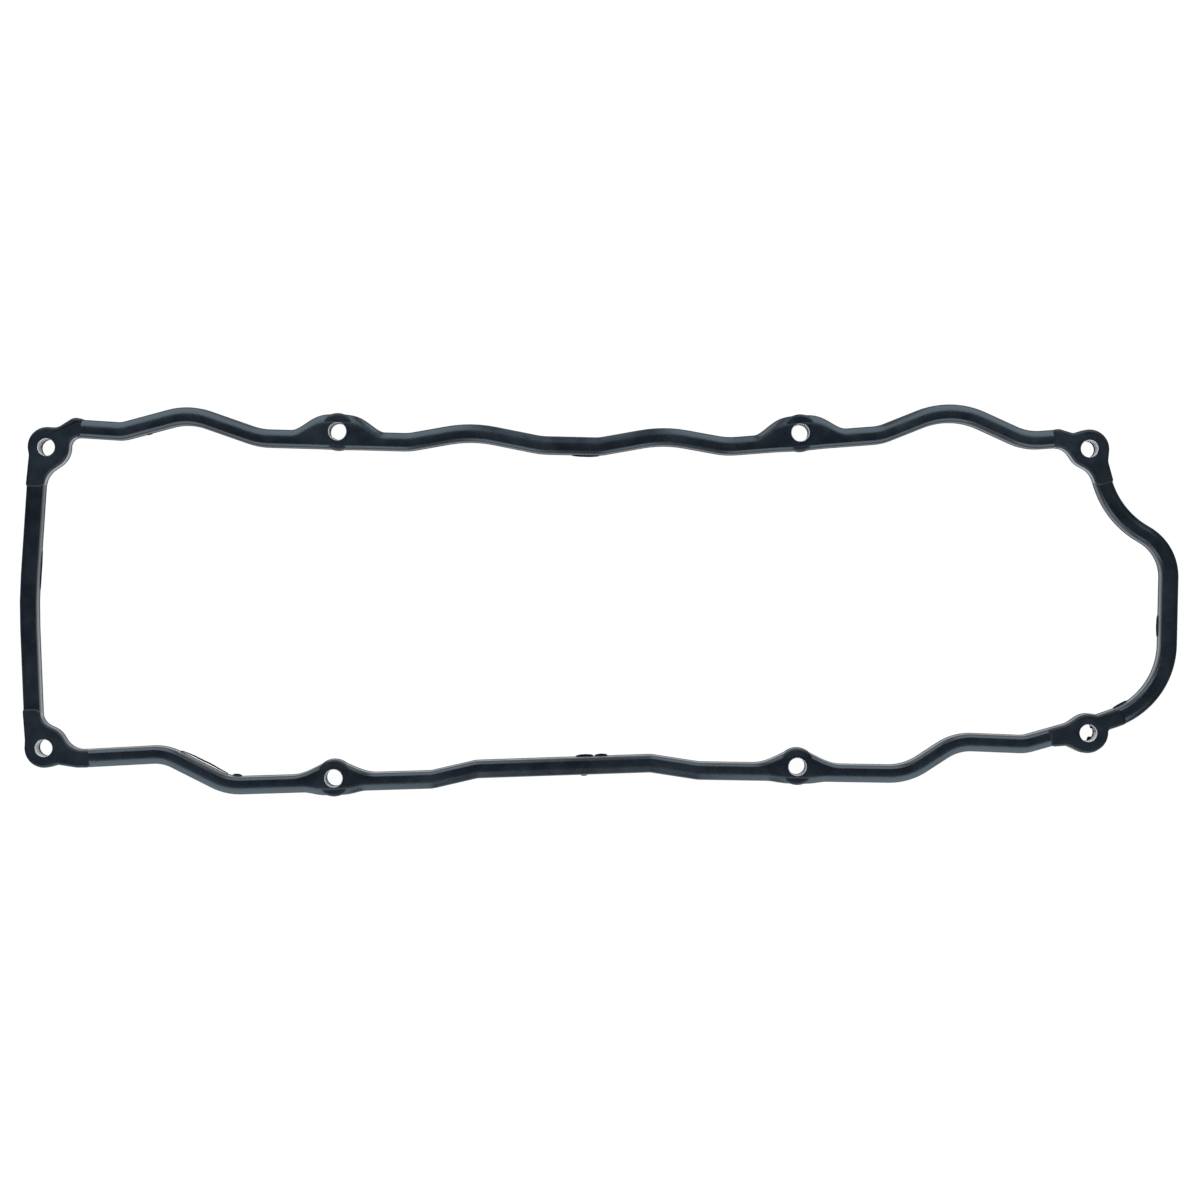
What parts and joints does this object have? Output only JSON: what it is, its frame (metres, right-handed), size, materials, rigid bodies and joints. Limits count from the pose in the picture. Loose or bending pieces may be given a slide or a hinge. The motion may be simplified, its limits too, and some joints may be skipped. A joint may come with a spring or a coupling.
{
  "type": "valve cover gasket",
  "caption": "Closed loop of moulded rubber bead that seals a valve cover to the cylinder head, with bolt holes in flat corner mouldings and round side pads.",
  "frame": {"origin": "middle of the gasket's box in plan, on its flat seat face", "axes": "+X along the long sides towards the end with the wide rounded bend, +Y towards the upper long side of the picture, +Z from the seat face up to the crown of the bead"},
  "size_m": [0.4652, 0.1578, 0.0063],
  "materials": {
    "black_rubber": "smooth moulded black rubber, satin on the bead and matt on the corner mouldings"
  },
  "bodies": {
    "root": {"gasket": "black_rubber"}
  },
  "joints": []
}
